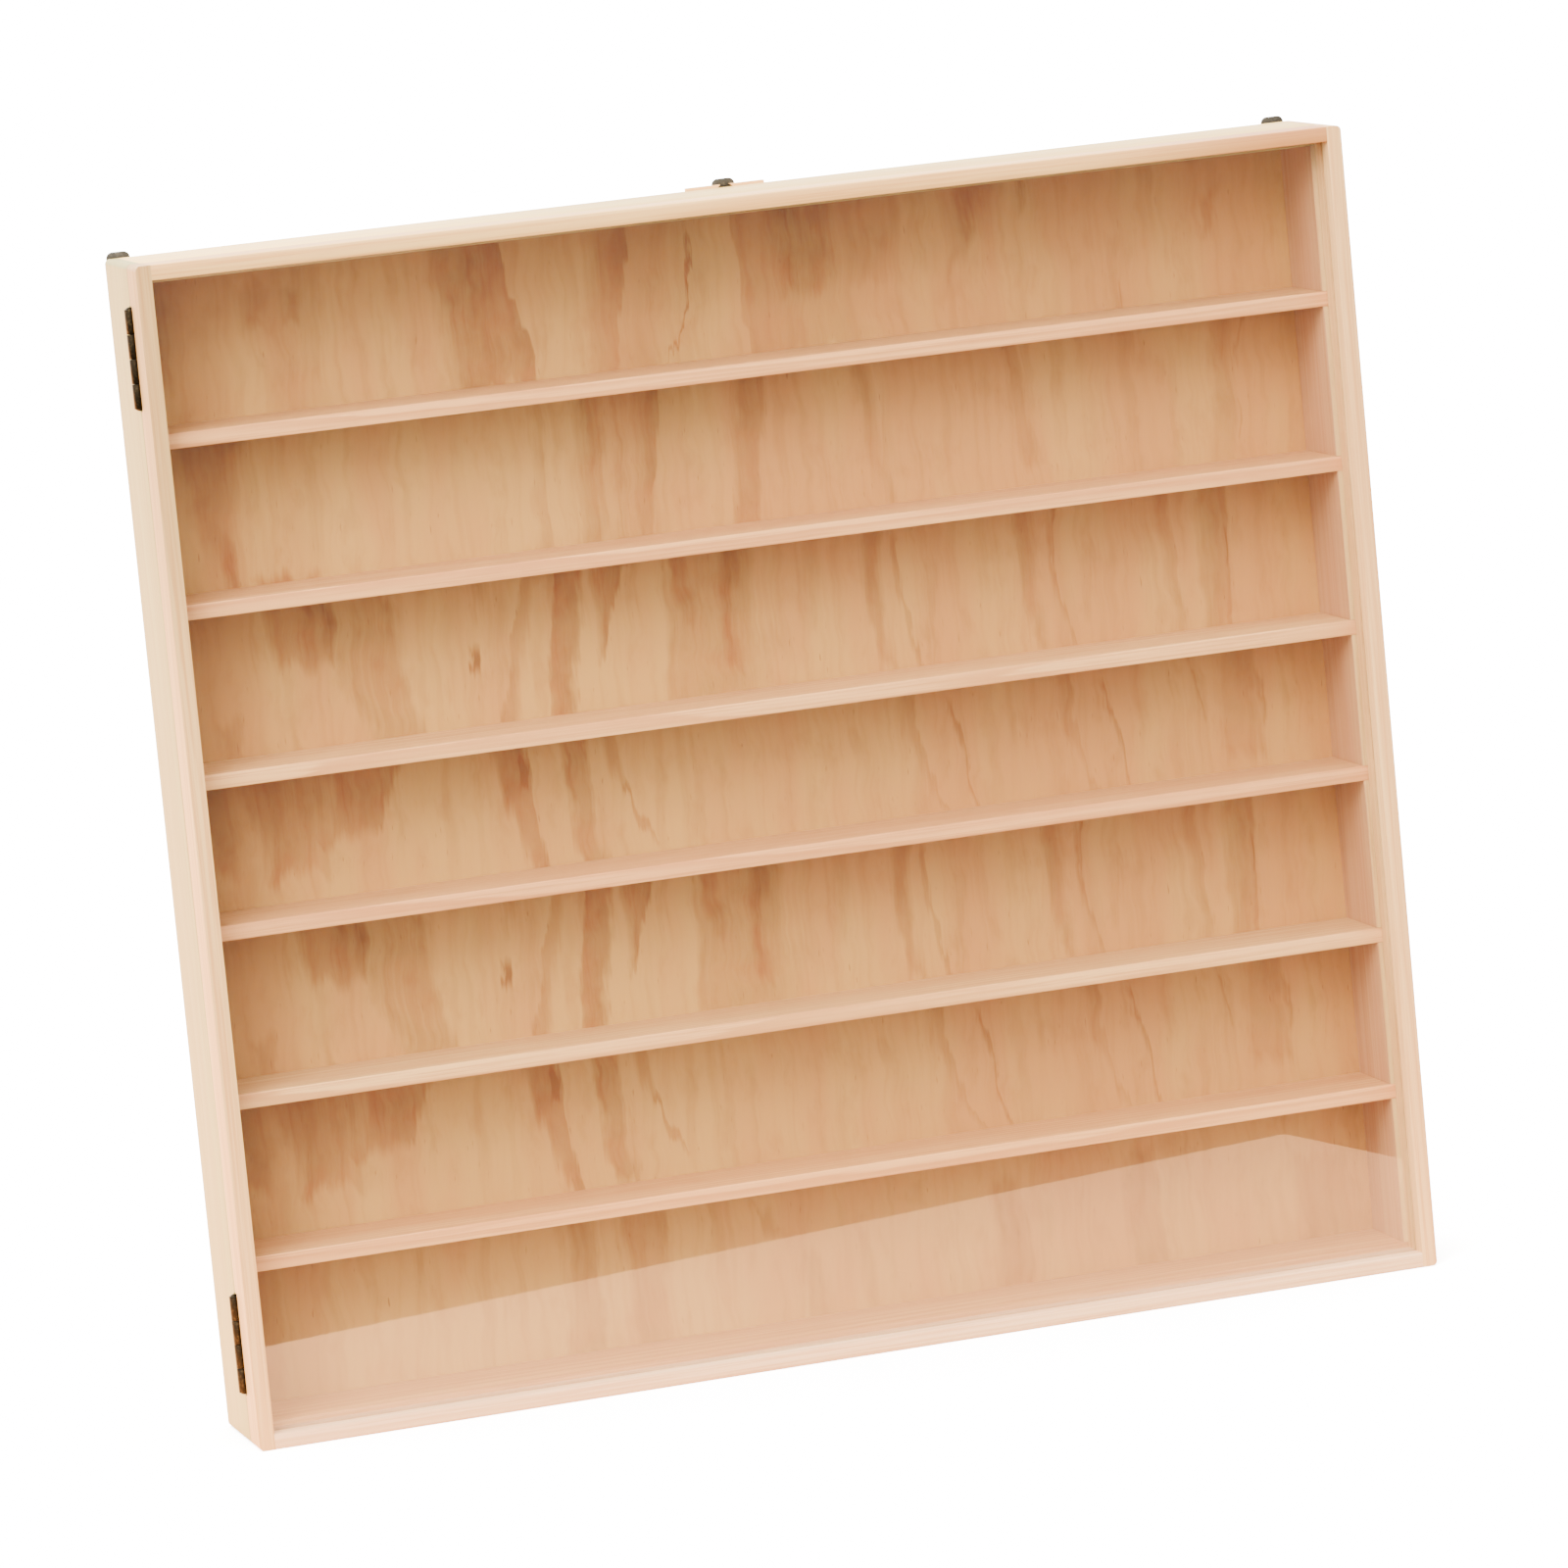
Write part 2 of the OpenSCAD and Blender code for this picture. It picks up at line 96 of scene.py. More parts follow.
def placeInMm(tree, scale=(1, 1, 1), shift=(0, 0, 0)):
    # a point of the piece in mm, stretched and moved for a pattern
    return addNode(tree, "ShaderNodeMapping", {
        "Vector": objectPlace(tree), "Scale": [s * 1000 for s in scale], "Location": shift,
    }).outputs[0]


def splitPlace(tree, place):
    return addNode(tree, "ShaderNodeSeparateXYZ", {0: place}).outputs


def noise(tree, place, scale=1.0, detail=2.0, roughness=0.5):
    return addNode(tree, "ShaderNodeTexNoise", {
        "Vector": place, "Scale": scale, "Detail": detail, "Roughness": roughness,
    }).outputs[0]


def mixShaders(tree, share, first, second):
    mixed = addNode(tree, "ShaderNodeMixShader", {0: share})
    tree.links.new(first.outputs[0], mixed.inputs[1])
    tree.links.new(second.outputs[0], mixed.inputs[2])
    return mixed.outputs[0]


def newMaterial(name, **plain):
    made = bpy.data.materials.new(name)
    made.use_nodes = True
    tree = made.node_tree
    shader = tree.nodes["Principled BSDF"]
    for key, value in plain.items():
        shader.inputs[key.replace("_", " ")].default_value = value
    return made, tree, shader


def addBump(tree, shader, height, strength, distance):
    inputs = {"Height": height, "Strength": strength, "Distance": distance}
    bump = addNode(tree, "ShaderNodeBump", inputs)
    tree.links.new(bump.outputs[0], shader.inputs["Normal"])


def addRoughness(tree, shader, pattern, middle, spread):
    # rougher and smoother than the middle by half the spread, as the pattern goes
    rough = calc(tree, "MULTIPLY_ADD", pattern, spread, middle - spread / 2)
    tree.links.new(rough, shader.inputs["Roughness"])


# Solid pine: growth rings round a pith line outside the board, with fibres along it

pineLook = {
    "woods": {
        "caseSide": {
            "early": (0.65, 0.46, 0.145), "warm": (0.63, 0.41, 0.135), "late": (0.54, 0.31, 0.08),
            "rings": 0.42,  # how strongly the rings show
        },
        "frame": {
            "early": (0.76, 0.46, 0.175), "warm": (0.73, 0.395, 0.15), "late": (0.60, 0.28, 0.085),
            "rings": 0.42,
        },
        # darker than the case's pine: partly the shelves' own slightly darker tone, partly painted shade
        # for the shelves and bottom board inside the case
        "shelf": {
            "early": (0.53, 0.265, 0.092), "warm": (0.51, 0.235, 0.08), "late": (0.40, 0.160, 0.046),
            "rings": 0.8,
        },
    },
    "ringGap": 3.0,                           # mm between rings
    "lateWood": {"from": 0.35, "to": 0.9},    # where in a ring the dark wood comes
    "ringEnd": {"from": 1.0, "to": 0.93},     # and where it stops
    "drawnOut": 0.045,                        # how slowly rings and tones change along the board
    "seedShift": (7.3, 3.1, 5.7),             # how far the figure moves on from seed to seed
    "bend": {"scale": 0.035, "detail": 1.0, "reach": 22.0},  # mm by which the rings wander
    "waver": {"scale": 0.4, "reach": 1.6},
    "warmth": {"scale": 0.09, "from": 0.35, "to": 0.65},
    # fine long streaks
    "fibre": {"drawnOut": 0.011, "scale": 0.9, "detail": 4.0, "roughness": 0.7,
              "seedShift": (5.1, 8.7, 2.3), "from": 0.46, "to": 0.62, "share": 0.74},
    "roughness": 0.52,
    "roughSpread": 0.16,
    "bump": {"rings": 0.4, "strength": 0.12, "depth": 0.0004},
}


def pineMaterial(name, kind, along, pith, seed, toneOrPaintedLight=None, tint=(1, 1, 1)):
    look = pineLook
    wood = look["woods"][kind]
    early, warm, late = (
        (*(part * share for part, share in zip(wood[key], tint)), 1) for key in ("early", "warm", "late")
    )
    made, tree, shader = newMaterial(name)
    axis = "XYZ".index(along)

    def stretch(share):
        return [share if i == axis else 1 for i in range(3)]

    place = placeInMm(tree, stretch(look["drawnOut"]), [seed * step for step in look["seedShift"]])
    bend = noise(tree, place, look["bend"]["scale"], look["bend"]["detail"])
    waver = noise(tree, place, look["waver"]["scale"])
    across = stretch(0)
    fromPith = placeInMm(tree, across, [-p * a for p, a in zip(pith, across)])
    rings = addNode(tree, "ShaderNodeVectorMath", {0: fromPith}, operation="LENGTH").outputs["Value"]
    rings = calc(tree, "MULTIPLY_ADD", bend, look["bend"]["reach"], rings)
    rings = calc(tree, "MULTIPLY_ADD", waver, look["waver"]["reach"], rings)
    rings = calc(tree, "FRACT", calc(tree, "DIVIDE", rings, look["ringGap"]))
    lateWood = calc(tree, "MULTIPLY", shareWithin(tree, rings, look["lateWood"]),
                    shareWithin(tree, rings, look["ringEnd"]))
    warmth = shareWithin(tree, noise(tree, place, look["warmth"]["scale"]), look["warmth"])
    streaks = look["fibre"]
    streakShift = [seed * step for step in streaks["seedShift"]]
    fibrePlace = placeInMm(tree, stretch(streaks["drawnOut"]), streakShift)
    fibre = noise(tree, fibrePlace, streaks["scale"], streaks["detail"], streaks["roughness"])
    base = blendColours(tree, warmth, early, warm)
    base = blendColours(tree, calc(tree, "MULTIPLY", lateWood, wood["rings"]), base, late)
    base = blendColours(tree, shareWithin(tree, fibre, streaks), base, late)
    if toneOrPaintedLight:
        # one face or end of the board is darker or lighter than the rest: on the door's left stile and top
        # rail its own tone, on the inner faces of the sides painted shade, on the top board and the
        # shelves' front edges a painted highlight
        beyond = shareWithin(tree, splitPlace(tree, placeInMm(tree))[toneOrPaintedLight["across"]], toneOrPaintedLight)
        other = blendColours(tree, 1.0, base, toneOrPaintedLight["tone"], "MULTIPLY")
        base = blendColours(tree, beyond, base, other)
    tree.links.new(base, shader.inputs["Base Color"])
    addRoughness(tree, shader, fibre, look["roughness"], look["roughSpread"])
    bump = look["bump"]
    height = calc(tree, "MULTIPLY_ADD", lateWood, bump["rings"], fibre)
    addBump(tree, shader, height, bump["strength"], bump["depth"])
    return made


# Plywood back: rotary-cut veneer, drawn as upright flames with a sharp edge on one side

plyLook = {
    "cream": (0.490, 0.256, 0.061, 1),
    "peach": (0.460, 0.203, 0.049, 1),
    "flame": (0.228, 0.085, 0.013, 1),
    "rust": (0.265, 0.084, 0.013, 1),
    "line": (0.13, 0.042, 0.010, 1),
    "rear": (0.50, 0.29, 0.14, 1),
    # painted shade: darker and redder beside the left wall, where its shadow falls
    "leftWallShade": {"from": -185.0, "to": -237.0, "tone": (0.84, 0.80, 0.76, 1)},
    # the noises, drawn out along the veneer: scales per mm across and along, detail, roughness
    "noises": {
        "wander": (0.05, 0.05, 2.0, 0.5),
        "brush": (0.30, 0.03, 3.0, 0.65),
        "tongue": (0.13, 0.0, 3.0, 0.6),
        "mottle": (0.10, 0.045, 4.0, 0.65),
        "broad": (0.035, 0.010, 2.0, 0.5),
        "streaks": (0.24, 0.012, 2.0, 0.6),
        "fibre": (1.5, 0.035, 3.0, 0.6),
        "pores": (1.1, 0.16, 1.0, 0.5),
        "rearTone": (0.10, 0.007, 3.0, 0.6),
        "rearFibre": (1.2, 0.03, 3.0, 0.6),
    },
    "wanderReach": 9.0,   # mm by which the figure bends
    "brushReach": 9.0,    # mm by which its edges fray
    "tongueReach": 30.0,  # mm by which the ends of flames are ragged
    "endFade": 0.2,       # per mm, at the ends of a flame
    "rim": {"perMm": -0.12, "edge": 1.16, "inside": 0.94},  # darker just inside an edge
    "broad": {"from": 0.35, "to": 0.68},   # cream to peach
    "peachSide": {"from": -60.0, "to": 120.0, "left": -0.2, "right": 0.4},
    "rusty": {"from": 0.4, "to": 0.6},
    "streaks": {"from": 0.42, "to": 0.74},
    "streakShare": 0.24,
    "blotches": {"from": 0.5, "to": 0.7, "share": 0.22},
    "lines": {"from": 0.55, "to": 0.8, "share": 0.11},
    "dashes": {"from": 0.70, "to": 0.78, "share": 0.5},  # short dark pores
    "rearTone": {"from": 0.38, "to": 0.7, "share": 0.6},
    "rearFibre": {"from": 0.5, "to": 0.8, "share": 0.3},
    # how streaks, fibre and mottle weaken or strengthen a flame: from, to, least, most
    "byStreaks": (0.0, 1.0, 0.9, 1.08),
    "byFibre": (0.25, 0.7, 0.86, 1.05),
    "byMottle": (0.36, 0.64, 0.8, 1.16),
    "gloss": 0.26,
    "roughness": 0.5,
    "roughSpread": 0.14,
    "bump": {"strength": 0.1, "depth": 0.0003},
    "frontOfRear": 25.0,  # mm, the plane behind which the rear veneer starts
    "copyBelow": 199.0,   # mm, the figure of the third and fourth tiers comes back below this height
    "copyAbove": 64.0,
    "copyDrop": 125.0,
}

# Each flame: heights of its top and bottom, its middle line at top, half-way and bottom,
# half widths at top and bottom, soft edges on the left and right, and strength; all in mm.
flamesAndTierShade = [
    (457, 404, -226, -226, -228, 8, 6, 4, 6, 0.45),
    (457, 389, -176, -175, -172, 19, 17, 12, 10, 0.28),
    (446, 424, -190, -190, -190, 9, 7, 5, 5, 0.42),
    (442, 426, -175, -174, -175, 5, 4, 5, 5, 0.6),
    (457, 389, -106, -101, -95, 14, 20, 8, 1.2, 0.8),
    (457, 389, -46, -49, -52, 10, 7, 6, 1.2, 0.55),
    (457, 389, -26, -26, -28, 26, 22, 14, 12, 0.24),
    (443, 389, -15, -16, -30, 0.9, 0.6, 1.2, 0.7, 0.94),
    # painted shade: a broad, faint darkening over the whole top tier, not a flame
    (460, 389, 0, 0, 0, 245, 245, 5, 5, 0.09),
    (457, 389, 33, 33, 34, 27, 25, 0.8, 14, 0.41),
    (457, 412, 34, 34, 33, 17, 12, 6, 9, 0.34),
    (457, 414, 62, 61, 60, 20, 10, 9, 9, 0.3),
    # painted shade: a broad, soft darkening over the right part of the top tier, not a flame
    (470, 414, 90, 88, 86, 150, 140, 40, 30, 0.10),
    (457, 426, 106, 104, 101, 22, 10, 10, 8, 0.3),
    (457, 404, 107, 100, 87, 11, 2.5, 7, 7, 0.5),
    (455, 434, 126, 125, 124, 1.6, 1, 1.5, 1.5, 0.6),
    (406, 392, 164, 164, 164, 1.1, 1, 1, 1, 0.6),
    (424, 389, 161, 161, 162, 2.5, 2, 3, 2, 0.41),
    (436, 416, 202, 203, 199, 3, 3, 3, 2, 0.47),
    (393, 323, -212, -212, -206, 18, 5, 7, 6, 0.6),
    (350, 323, -208, -208, -207, 4, 5, 3, 3, 0.45),
    (393, 323, -190, -186, -180, 14, 18, 12, 10, 0.25),
    (393, 323, -81, -82, -83, 3, 4, 3, 1.2, 0.38),
    (393, 323, -60, -61, -64, 8, 6, 5, 3, 0.5),
    (393, 323, -42, -44, -48, 28, 24, 14, 12, 0.25),
    (393, 323, -38, -38, -45, 6, 5, 6, 1.6, 0.5),
    (386, 323, -48, -49, -53, 1.6, 1.2, 2, 1.5, 0.4),
    (393, 323, 6, 4, 1, 8, 6, 3, 2.4, 0.6),
    (393, 323, 51, 55, 60, 6, 3, 5, 2.5, 0.4),
    (393, 334, 114, 116, 121, 4, 4, 3, 2, 0.44),
    (393, 323, 163, 163, 165, 5, 3, 4, 2, 0.32),
    (393, 323, 206, 203, 200, 6, 6, 4, 3, 0.38),
    (392, 366, 215, 212, 210, 1.2, 1, 1.2, 1.2, 0.5),
    (354, 336, 208, 209, 208, 1.3, 1.1, 1.2, 1, 0.5),
    (278, 257, -215, -215, -214, 5, 5, 3, 2, 0.49),
    (327, 257, -166, -158, -149, 18, 12, 6, 3, 0.52),
    (332, 292, -187, -185, -183, 15, 12, 5, 3, 0.72),
    (295, 281, -115.5, -115.5, -115.5, 2.4, 2, 1, 1, 1.1),
    (327, 300, -113, -113, -114, 3, 2, 3, 2, 0.35),
    (327, 257, -86, -96, -105, 4.5, 4.5, 1.4, 4.5, 0.58),
    (327, 257, -71, -78, -82, 6.5, 5, 1.6, 3, 0.84),
    (327, 278, -58, -61, -66, 8, 1.4, 4, 1.4, 0.8),
    (327, 257, -15, -18, -20, 19, 20, 3, 7, 0.5),
    (327, 288, -29, -29, -28, 5, 3, 4, 3, 0.3),
    (327, 268, -8, -11, -10, 6, 4, 4, 4, 0.4),
    (327, 280, 25, 24, 23, 5, 3, 4, 3, 0.32),
    (327, 262, 53, 50, 55, 5, 4, 2, 4, 0.58),
    (316, 257, 60, 61, 68, 2, 1.6, 2, 0.9, 0.52),
    (304, 272, 75, 74, 70, 2.6, 2.4, 3, 2, 0.25),
    (327, 262, 117, 114, 119, 6, 4, 3, 4, 0.56),
    (318, 257, 126, 125, 133, 2.2, 1.7, 3, 0.9, 0.52),
    (306, 270, 141, 139, 136, 3, 2, 3, 2, 0.28),
    (327, 257, 173, 174, 176, 5, 4, 4, 1.5, 0.46),
    (327, 257, 193, 193, 193, 7.5, 6.5, 4, 1, 0.5),
    (302, 283, 198, 197.5, 197, 1.3, 1, 1, 0.8, 0.6),
    (261, 214, -227, -227, -225, 16, 12, 6, 7, 0.56),
    (218, 193, -214, -213, -212, 6, 5, 5, 4, 0.25),
    (261, 211, -197.5, -196, -194, 20.5, 14, 7, 7, 0.66),
    (261, 223, -165.5, -167, -174, 18.5, 12, 7, 2.2, 0.72),
    (261, 193, -108, -102, -94, 9, 3, 3.5, 1, 0.75),
    (250, 234, -101, -100.5, -100, 1.6, 1.3, 1, 0.8, 0.8),
    (261, 198, -79, -78, -74, 7, 5, 2.5, 3, 0.7),
    (261, 226, -67, -64, -60, 5.5, 2, 3, 2, 0.5),
    (233, 206, -61, -55, -48, 1.8, 2.2, 1.5, 1.2, 0.66),
    (261, 193, 59, 62, 77, 4, 1.5, 3, 1, 0.43),
    (249, 196, 76, 81, 87, 1.6, 1.3, 1.8, 0.8, 0.66),
    (261, 193, 123, 127, 139, 4, 1.5, 3, 1, 0.43),
    (249, 196, 141, 145, 152, 1.6, 1.3, 1.8, 0.8, 0.7),
    (261, 225, 179, 180, 184, 1.4, 1, 2, 1, 0.54),
    (261, 205, 197, 198, 199, 8, 9, 3, 3, 0.44),
    (243, 220, 205, 207, 208, 1.6, 1.2, 1.5, 1, 0.5),
    (72, 3, -97, -96, -98, 6, 8, 3, 2, 0.5),
    (72, 3, -69, -70, -71, 10, 8, 3, 2, 0.43),
    (58, 42, -22, -20, -15, 5, 3, 3, 2, 0.5),
    (36, 3, -3, -1, 1, 5, 6, 4, 3, 0.41),
    (40, 3, 21, 21, 22, 3, 4, 4, 3, 0.41),
    (54, 3, 81, 82, 83, 8, 9, 4, 3, 0.43),
    (58, 3, 139, 139, 140, 9, 10, 4, 3, 0.43),
    (45, 3, 216, 216, 217, 13, 14, 5, 4, 0.41),
]


def flameGroup():
    group = bpy.data.node_groups.new("veneerFlame", "ShaderNodeTree")
    names = ["across", "height", "top", "perLength", "start", "slope", "curve", "halfWidth", "widening",
             "leftEdge", "rightEdge", "bottom", "strength"]
    for name in names:
        group.interface.new_socket(name, in_out="INPUT", socket_type="NodeSocketFloat")
    group.interface.new_socket("share", in_out="OUTPUT", socket_type="NodeSocketFloat")
    given = group.nodes.new("NodeGroupInput").outputs
    result = group.nodes.new("NodeGroupOutput")
    down = calc(group, "SUBTRACT", given["top"], given["height"])
    share = calc(group, "MULTIPLY", down, given["perLength"])
    middle = calc(group, "MULTIPLY_ADD", share, given["curve"], given["slope"])
    middle = calc(group, "MULTIPLY_ADD", middle, share, given["start"])
    half = calc(group, "MULTIPLY_ADD", share, given["widening"], given["halfWidth"])
    side = calc(group, "SUBTRACT", given["across"], middle)
    fromLeft = calc(group, "ADD", half, side)
    fromRight = calc(group, "SUBTRACT", half, side)
    wide = calc(group, "MINIMUM", calc(group, "MULTIPLY", fromLeft, given["leftEdge"]),
                calc(group, "MULTIPLY", fromRight, given["rightEdge"]))
    above = calc(group, "SUBTRACT", given["height"], given["bottom"])
    tall = calc(group, "MULTIPLY", calc(group, "MINIMUM", down, above), plyLook["endFade"])
    body = calc(group, "MINIMUM", wide, tall, clamp=True)
    nearest = calc(group, "MINIMUM", fromLeft, fromRight)
    rim = calc(group, "MULTIPLY_ADD", nearest, plyLook["rim"]["perMm"], plyLook["rim"]["edge"])
    body = calc(group, "MULTIPLY", body, calc(group, "MAXIMUM", rim, plyLook["rim"]["inside"]))
    body = calc(group, "MULTIPLY", body, given["strength"])
    group.links.new(body, result.inputs[0])
    return group


def drawFlamesAndTierShade(tree, across, height):
    group = flameGroup()
    total = None
    for top, bottom, start, middle, end, wide, wideEnd, leftSoft, rightSoft, strength in flamesAndTierShade:
        curve = 2 * (start - 2 * middle + end)  # a parabola through the three places
        values = {
            "across": across, "height": height, "top": top, "perLength": 1 / (top - bottom),
            "start": start, "slope": end - start - curve, "curve": curve, "halfWidth": wide,
            "widening": wideEnd - wide, "leftEdge": 1 / leftSoft, "rightEdge": 1 / rightSoft,
            "bottom": bottom, "strength": strength,
        }
        flame = addNode(tree, "ShaderNodeGroup", node_tree=group)
        for key, value in values.items():
            feed(tree, flame.inputs[key], value)
        total = flame.outputs[0] if total is None else calc(tree, "ADD", total, flame.outputs[0])
    return total


def plywoodMaterial():
    look = plyLook
    made, tree, shader = newMaterial("plywood", Specular_IOR_Level=look["gloss"])
    split = splitPlace(tree, placeInMm(tree))
    repeat = calc(tree, "LESS_THAN", split["Z"], look["copyBelow"])
    repeat = calc(tree, "MULTIPLY", repeat, calc(tree, "GREATER_THAN", split["Z"], look["copyAbove"]))
    height = calc(tree, "MULTIPLY_ADD", repeat, look["copyDrop"], split["Z"])

    def veneerNoise(kind, x, z=height):
        acrossScale, alongScale, detail, roughness = look["noises"][kind]
        drawnOut = addNode(tree, "ShaderNodeMapping", {
            "Vector": addNode(tree, "ShaderNodeCombineXYZ", {"X": x, "Y": split["Y"], "Z": z}).outputs[0],
            "Scale": (acrossScale, 1, alongScale),
        })
        return noise(tree, drawnOut.outputs[0], 1.0, detail, roughness)

    wander = veneerNoise("wander", split["X"])
    brush = veneerNoise("brush", split["X"])
    bent = calc(tree, "MULTIPLY_ADD", wander, look["wanderReach"], split["X"])
    across = calc(tree, "MULTIPLY_ADD", brush, look["brushReach"], bent)
    across = calc(tree, "SUBTRACT", across, (look["wanderReach"] + look["brushReach"]) / 2)
    tongue = veneerNoise("tongue", split["X"])
    ragged = calc(tree, "MULTIPLY_ADD", tongue, look["tongueReach"],
                  calc(tree, "SUBTRACT", height, look["tongueReach"] / 2))
    mottle = veneerNoise("mottle", bent)
    streaks = shareWithin(tree, veneerNoise("streaks", bent), look["streaks"])
    fibre = veneerNoise("fibre", bent)
    pores = veneerNoise("pores", split["X"])
    drawn = drawFlamesAndTierShade(tree, across, ragged)
    drawn = calc(tree, "MULTIPLY", drawn, remap(tree, streaks, *look["byStreaks"], "LINEAR"))
    drawn = calc(tree, "MULTIPLY", drawn, remap(tree, fibre, *look["byFibre"], "LINEAR"))
    drawn = calc(tree, "MULTIPLY", drawn, remap(tree, mottle, *look["byMottle"], "LINEAR"), clamp=True)

    sides = look["peachSide"]
    broad = shareWithin(tree, veneerNoise("broad", split["X"]), look["broad"])
    peachSide = remap(tree, split["X"], sides["from"], sides["to"], sides["left"], sides["right"])
    peachy = calc(tree, "ADD", broad, peachSide, clamp=True)
    colour = blendColours(tree, peachy, look["cream"], look["peach"])
    warm = blendColours(tree, shareWithin(tree, wander, look["rusty"]), look["flame"], look["rust"])
    colour = blendColours(tree, calc(tree, "MULTIPLY", streaks, look["streakShare"]), colour, warm)
    colour = blendColours(tree, shareWithin(tree, mottle, look["blotches"]), colour, warm)
    colour = blendColours(tree, drawn, colour, warm)
    colour = blendColours(tree, shareWithin(tree, fibre, look["lines"]), colour, look["line"])
    colour = blendColours(tree, shareWithin(tree, pores, look["dashes"]), colour, look["line"])
    wallShaded = blendColours(tree, 1.0, colour, look["leftWallShade"]["tone"], "MULTIPLY")
    colour = blendColours(tree, shareWithin(tree, split["X"], look["leftWallShade"]), colour, wallShaded)

    # the rear veneer has a plainer figure, which doesn't come back
    rearTone = shareWithin(tree, veneerNoise("rearTone", split["X"], split["Z"]), look["rearTone"])
    rearFibre = shareWithin(tree, veneerNoise("rearFibre", split["X"], split["Z"]), look["rearFibre"])
    rear = blendColours(tree, rearTone, look["rear"], look["flame"])
    rear = blendColours(tree, rearFibre, rear, look["line"])
    behind = calc(tree, "GREATER_THAN", split["Y"], look["frontOfRear"])
    tree.links.new(blendColours(tree, behind, colour, rear), shader.inputs["Base Color"])
    addRoughness(tree, shader, fibre, look["roughness"], look["roughSpread"])
    addBump(tree, shader, fibre, look["bump"]["strength"], look["bump"]["depth"])
    return made


# Metals and the pane

metalLook = {
    "bronze": {"base": (0.013, 0.010, 0.006, 1), "worn": (0.040, 0.029, 0.015, 1), "metallic": 1.0,
               "roughness": 0.425, "grain": 0.9},
    "hangerBronze": {"base": (0.030, 0.027, 0.020, 1), "worn": (0.075, 0.066, 0.05, 1), "metallic": 0.6,
                     "roughness": 0.505, "grain": 0.7},
    "nickel": {"base": (0.62, 0.61, 0.58, 1), "worn": (0.46, 0.45, 0.42, 1), "metallic": 1.0,
               "roughness": 0.285, "grain": 1.2},
    "brightSteel": {"base": (0.52, 0.51, 0.49, 1), "worn": (0.36, 0.34, 0.31, 1), "metallic": 1.0,
                    "roughness": 0.365, "grain": 1.5},
}
metalSurface = {
    "patches": {"detail": 4.0, "roughness": 0.6, "from": 0.48, "to": 0.72},  # where the finish is worn
    "fineGrain": 7.0,
    "roughSpread": 0.25,
    "bump": {"strength": 0.1, "depth": 0.0001},
}


def metalMaterial(name):
    look = metalLook[name]
    patches = metalSurface["patches"]
    bump = metalSurface["bump"]
    made, tree, shader = newMaterial(name, Metallic=look["metallic"])
    place = placeInMm(tree)
    patchy = noise(tree, place, look["grain"], patches["detail"], patches["roughness"])
    fine = noise(tree, place, metalSurface["fineGrain"])
    colour = blendColours(tree, shareWithin(tree, patchy, patches), look["base"], look["worn"])
    tree.links.new(colour, shader.inputs["Base Color"])
    addRoughness(tree, shader, fine, look["roughness"], metalSurface["roughSpread"])
    addBump(tree, shader, calc(tree, "ADD", patchy, fine), bump["strength"], bump["depth"])
    return made


paneLook = {
    "tint": (0.95, 0.96, 0.955, 1),
    "shade": (0.86, 0.87, 0.865, 1),  # what both faces and the sheet take from light passing in
    "ior": 1.52,
    # faint wiping marks that roughen the surface
    "wipes": {"scale": (0.02, 0.02, 0.006), "detail": 3.0, "from": 0.45, "to": 0.8, "share": 0.004},
}


def paneMaterial():
    look = paneLook
    wipes = look["wipes"]
    made, tree, shader = newMaterial("clearPane", Base_Color=look["tint"], IOR=look["ior"],
                                     Transmission_Weight=1.0)
    smear = shareWithin(tree, noise(tree, placeInMm(tree, wipes["scale"]), 1.0, wipes["detail"]), wipes)
    tree.links.new(smear, shader.inputs["Roughness"])
    # lamps shine through the pane without bending
    ray = addNode(tree, "ShaderNodeLightPath").outputs
    clear = addNode(tree, "ShaderNodeBsdfTransparent", {"Color": look["shade"]})
    mixed = mixShaders(tree, ray["Is Shadow Ray"], shader, clear)
    tree.links.new(mixed, tree.nodes["Material Output"].inputs["Surface"])
    return made


# Mesh helpers

meshLook = {
    "smoothBelow": 35,    # degrees between faces that are shaded as one
    "merge": 0.000001,    # m
    "flat": 0.5,          # degrees below which neighbouring CAD facets join
    "easeAbove": 40,      # degrees of an edge that can be eased
    "latheMerge": 0.0000005,
}


def addObject(name, data):
    made = bpy.data.objects.new(name, data)
    bpy.context.scene.collection.objects.link(made)
    return made


def newPiece(name, bm, material, body, node):
    limit = math.radians(meshLook["smoothBelow"])
    for edge in bm.edges:
        edge.smooth = edge.is_manifold and edge.calc_face_angle(math.pi) < limit
    for face in bm.faces:
        face.smooth = True
    mesh = bpy.data.meshes.new(name)
    bm.to_mesh(mesh)
    bm.free()
    mesh.materials.append(material)
    piece = addObject(name, mesh)
    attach(piece, body)
    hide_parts(node)


def mergedCopy(node):
    bm = bmesh.new()
    bm.from_mesh(cadNodes[node].data)
    bmesh.ops.remove_doubles(bm, verts=bm.verts, dist=meshLook["merge"])
    bmesh.ops.dissolve_limit(bm, angle_limit=math.radians(meshLook["flat"]), verts=bm.verts, edges=bm.edges)
    return bm


def easeEdges(bm, width, choose, segments=2):
    chosen = []
    for edge in bm.edges:
        if not edge.is_manifold or edge.calc_face_angle_signed(0) < math.radians(meshLook["easeAbove"]):
            continue
        run = edge.verts[1].co - edge.verts[0].co
        if choose((edge.verts[0].co + edge.verts[1].co) / 2, run):
            chosen.append(edge)
    bmesh.ops.bevel(bm, geom=chosen, offset=width, offset_type="OFFSET", affect="EDGES",
                    segments=segments, profile=0.5, material=-1, clamp_overlap=True)


def allEdges(middle, run):
    return True


